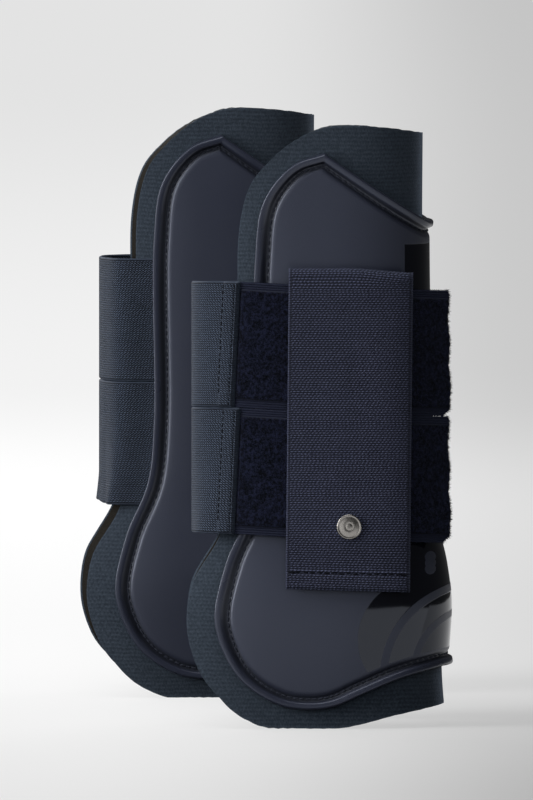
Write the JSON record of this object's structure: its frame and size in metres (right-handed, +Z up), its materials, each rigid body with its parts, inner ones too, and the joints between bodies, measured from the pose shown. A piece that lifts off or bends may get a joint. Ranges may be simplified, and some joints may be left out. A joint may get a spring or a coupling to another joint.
{
  "type": "horse tendon boots",
  "caption": "Open-fronted tendon boots for a horse: moulded shell over a neoprene wrap, elastic straps round the front and a folded hook-tape flap with a rivet badge.",
  "frame": {"origin": "on the ground under the middle of the pair's bounding box", "axes": "+Z up, -X the front of the legs, the left boot stands on the -Y side and the right boot on the +Y side"},
  "size_m": [0.1544, 0.3018, 0.2458],
  "materials": {
    "inner_lining": "dark navy knitted lining, matt",
    "neoprene_core": "black-brown closed-cell foam, cut edges showing",
    "outer_facing": "navy knitted facing, fine ribs, matt",
    "outer_shell": "matt navy moulded plastic with a raised rim and a glossy panel at the tendon",
    "elastic": "navy woven elastic, twill",
    "loop_strip": "deep navy napped loop pile",
    "hook_tape": "navy woven hook tape",
    "badge": "brushed metal rivet cap"
  },
  "bodies": {
    "left_boot": {"left_inner_lining": "inner_lining", "left_neoprene_core": "neoprene_core", "left_outer_facing": "outer_facing", "left_outer_shell": "outer_shell", "left_hook_backing_tape": "hook_tape", "left_upper_strap_anchor": "elastic", "left_lower_strap_anchor": "elastic"},
    "left_flap": {"left_closure_flap": "hook_tape", "left_badge_cap": "badge", "left_badge_washer": "badge"},
    "left_upper_elastic": {"left_upper_strap_elastic": "elastic"},
    "left_upper_loop": {"left_upper_strap_loop_strip": "loop_strip"},
    "left_lower_elastic": {"left_lower_strap_elastic": "elastic"},
    "left_lower_loop": {"left_lower_strap_loop_strip": "loop_strip"},
    "right_boot": {"right_inner_lining": "inner_lining", "right_neoprene_core": "neoprene_core", "right_outer_facing": "outer_facing", "right_outer_shell": "outer_shell", "right_hook_backing_tape": "hook_tape", "right_upper_strap_anchor": "elastic", "right_lower_strap_anchor": "elastic"},
    "right_flap": {"right_closure_flap": "hook_tape", "right_badge_cap": "badge", "right_badge_washer": "badge"},
    "right_upper_elastic": {"right_upper_strap_elastic": "elastic"},
    "right_upper_loop": {"right_upper_strap_loop_strip": "loop_strip"},
    "right_lower_elastic": {"right_lower_strap_elastic": "elastic"},
    "right_lower_loop": {"right_lower_strap_loop_strip": "loop_strip"}
  },
  "joints": [
    {"name": "left_flap_hinge", "type": "hinge", "parent": "left_boot", "child": "left_flap", "pos_m": [0.03466, -0.1462, 0.184], "axis": [-0.9954, -0.0954, 0], "range_deg": [0, 160]},
    {"name": "left_upper_strap_swing", "type": "hinge", "parent": "left_boot", "child": "left_upper_elastic", "pos_m": [-0.00484, -0.0741, 0.1566], "axis": [0, 0, -1], "range_deg": [0, 64], "deforming": ["left_upper_strap_elastic"]},
    {"name": "left_upper_strap_peel", "type": "hinge", "parent": "left_upper_elastic", "child": "left_upper_loop", "pos_m": [-0.01094, -0.1402, 0.1566], "axis": [0, 0, -1], "range_deg": [0, 64], "deforming": ["left_upper_strap_loop_strip"]},
    {"name": "left_lower_strap_swing", "type": "hinge", "parent": "left_boot", "child": "left_lower_elastic", "pos_m": [-0.00484, -0.0741, 0.1052], "axis": [0, 0, -1], "range_deg": [0, 64], "deforming": ["left_lower_strap_elastic"]},
    {"name": "left_lower_strap_peel", "type": "hinge", "parent": "left_lower_elastic", "child": "left_lower_loop", "pos_m": [-0.01094, -0.1423, 0.1052], "axis": [0, 0, -1], "range_deg": [0, 64]},
    {"name": "right_flap_hinge", "type": "hinge", "parent": "right_boot", "child": "right_flap", "pos_m": [-0.01149, 0.14596, 0.184], "axis": [0.9991, -0.0432, 0], "range_deg": [0, 160]},
    {"name": "right_upper_strap_swing", "type": "hinge", "parent": "right_boot", "child": "right_upper_elastic", "pos_m": [-0.04717, 0.0719, 0.1566], "axis": [0, 0, 1], "range_deg": [0, 64], "deforming": ["right_upper_strap_elastic"]},
    {"name": "right_upper_strap_peel", "type": "hinge", "parent": "right_upper_elastic", "child": "right_upper_loop", "pos_m": [-0.05672, 0.13759, 0.1566], "axis": [0, 0, 1], "range_deg": [0, 64], "deforming": ["right_upper_strap_loop_strip"]},
    {"name": "right_lower_strap_swing", "type": "hinge", "parent": "right_boot", "child": "right_lower_elastic", "pos_m": [-0.04717, 0.0719, 0.1052], "axis": [0, 0, 1], "range_deg": [0, 64], "deforming": ["right_lower_strap_elastic"]},
    {"name": "right_lower_strap_peel", "type": "hinge", "parent": "right_lower_elastic", "child": "right_lower_loop", "pos_m": [-0.05683, 0.13968, 0.1052], "axis": [0, 0, 1], "range_deg": [0, 64]},
    {"name": "right_boot_lift", "type": "slide", "parent": "left_boot", "child": "right_boot", "axis": [0, 0, 1], "range_m": [0, 0.3]}
  ],
  "couplings": [
    {"joint": "left_upper_strap_swing", "follows": "left_flap_hinge", "ratio": 0.4},
    {"joint": "left_upper_strap_peel", "follows": "left_flap_hinge", "ratio": 0.4},
    {"joint": "left_lower_strap_swing", "follows": "left_flap_hinge", "ratio": 0.4},
    {"joint": "left_lower_strap_peel", "follows": "left_flap_hinge", "ratio": 0.4},
    {"joint": "right_upper_strap_swing", "follows": "right_flap_hinge", "ratio": 0.4},
    {"joint": "right_upper_strap_peel", "follows": "right_flap_hinge", "ratio": 0.4},
    {"joint": "right_lower_strap_swing", "follows": "right_flap_hinge", "ratio": 0.4},
    {"joint": "right_lower_strap_peel", "follows": "right_flap_hinge", "ratio": 0.4}
  ]
}
